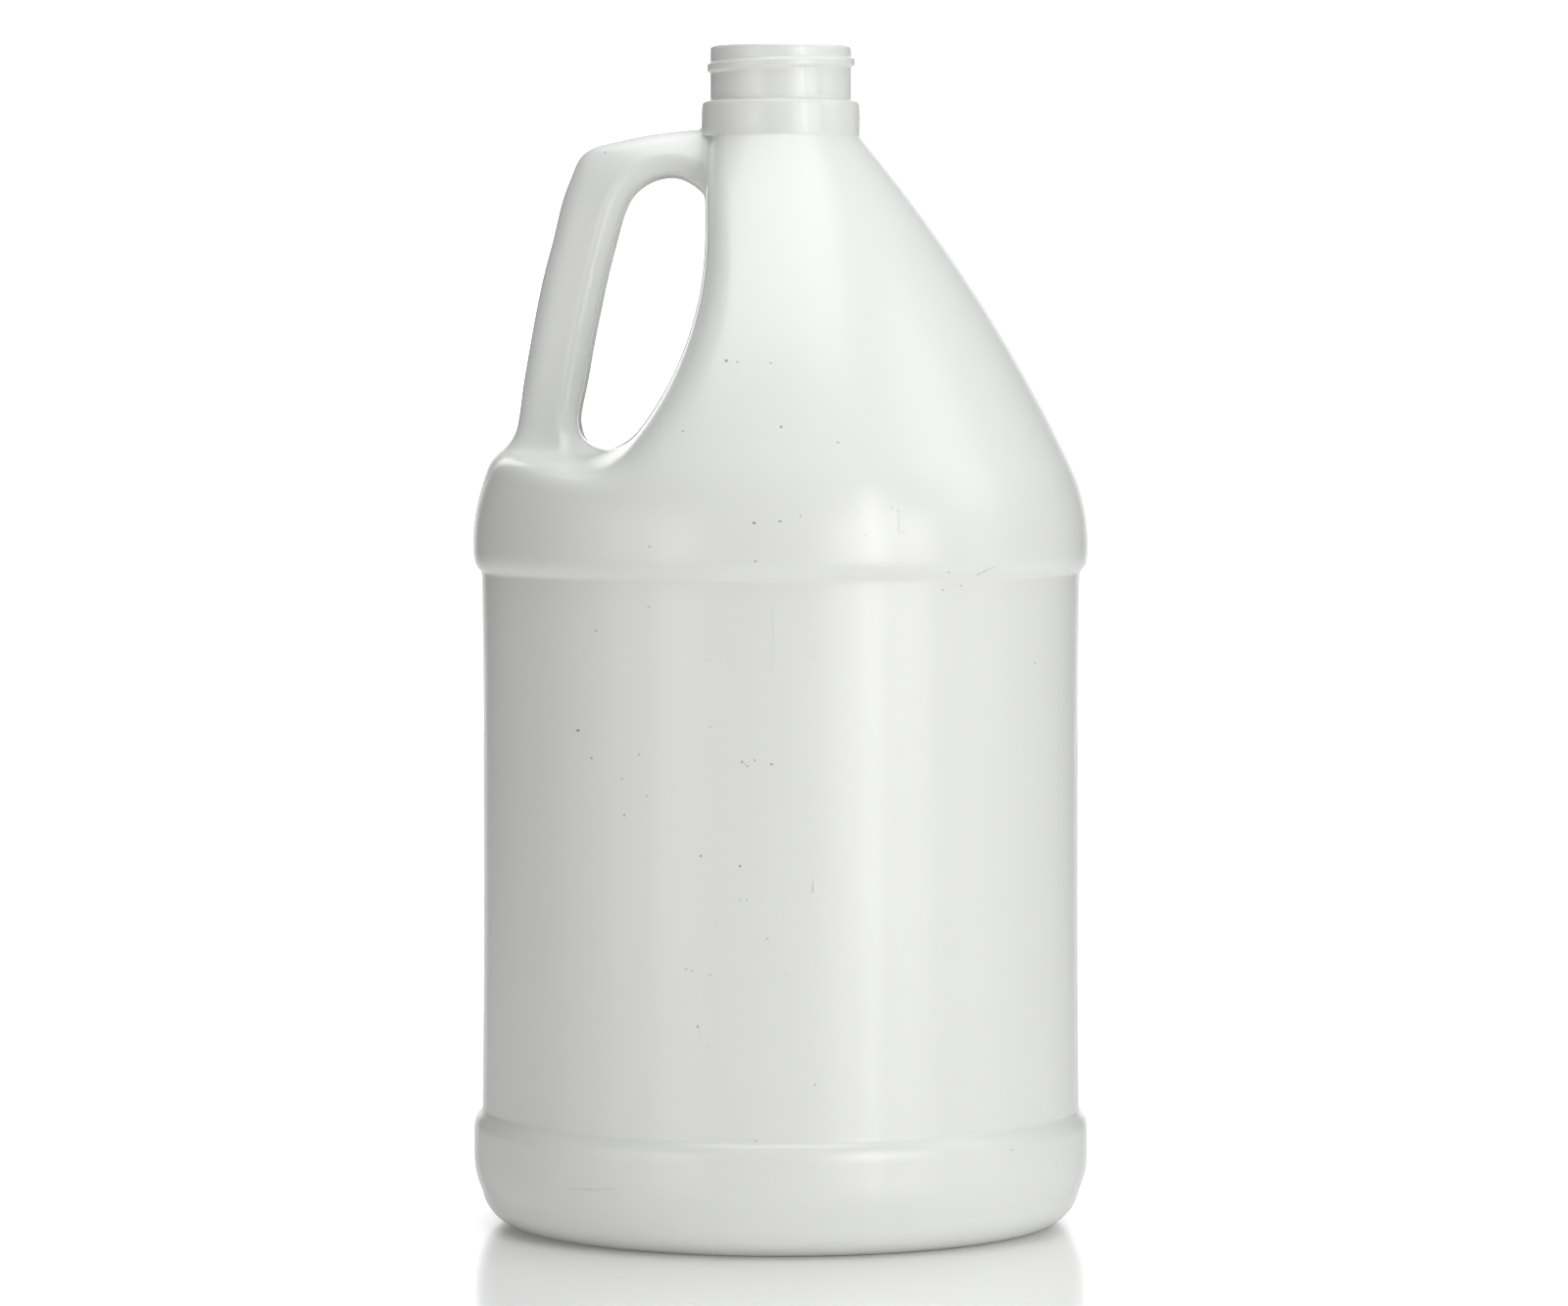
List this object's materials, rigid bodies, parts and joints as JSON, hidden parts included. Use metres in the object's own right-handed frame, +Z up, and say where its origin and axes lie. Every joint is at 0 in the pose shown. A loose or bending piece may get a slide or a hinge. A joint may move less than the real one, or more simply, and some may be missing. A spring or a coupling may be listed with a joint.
{
  "type": "round plastic jug with handle",
  "caption": "Empty round gallon jug of white plastic, uncapped, with a hollow moulded handle, a threaded neck and a recessed label panel.",
  "frame": {"origin": "centre of the base, on the plane of its contact ring", "axes": "+Z up along the axis of the neck, handle on the -X side, mould parting plane on y = 0"},
  "size_m": [0.156, 0.156, 0.2984],
  "materials": {
    "plastic": "opaque white blow-moulded polyethylene, low gloss, faintly mottled"
  },
  "bodies": {
    "root": {"jug": "plastic"}
  },
  "joints": []
}
